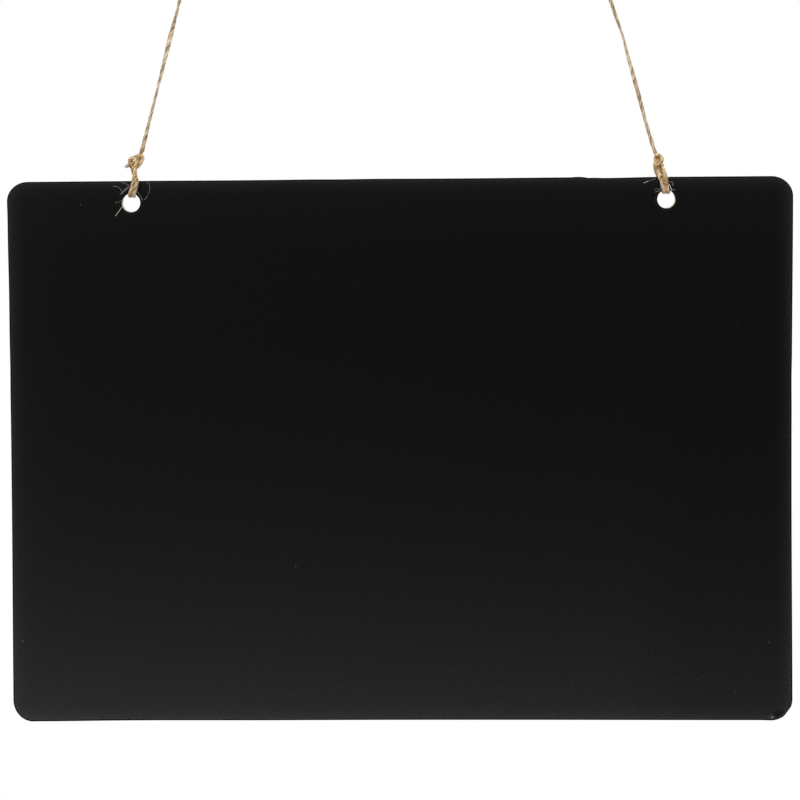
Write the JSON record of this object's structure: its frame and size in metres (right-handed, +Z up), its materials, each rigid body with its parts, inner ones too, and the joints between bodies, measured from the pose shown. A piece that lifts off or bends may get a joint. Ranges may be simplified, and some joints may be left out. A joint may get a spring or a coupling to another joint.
{
  "type": "wall chalkboard",
  "caption": "Thin black landscape chalkboard panel with rounded corners, hung by jute twine knotted through a hole in each top corner.",
  "frame": {"origin": "on the panel's centre line and mid-thickness, at the height of the two nails or hooks that the twine's eyes hang on", "axes": "+X to the viewer's right along the panel's long side, +Y from the front face to the back face, +Z up"},
  "size_m": [0.33, 0.0096, 0.3325],
  "materials": {
    "hardboard": "bare, sawn edges",
    "chalk_paint": "matte black chalk paint",
    "jute_twine": "two-ply twisted jute"
  },
  "bodies": {
    "hung_twine": {"left_strand": "jute_twine", "right_strand": "jute_twine", "left_hanging_loop": "jute_twine", "right_hanging_loop": "jute_twine"},
    "board": {"board_core": "hardboard", "front_chalk_face": "chalk_paint", "back_chalk_face": "chalk_paint", "left_knot": "jute_twine", "right_knot": "jute_twine"}
  },
  "joints": [
    {"name": "board_swing", "type": "hinge", "parent": "hung_twine", "child": "board", "pos_m": [0, 0, -0.0895], "axis": [1, 0, 0], "range_deg": [-90, 90]}
  ]
}
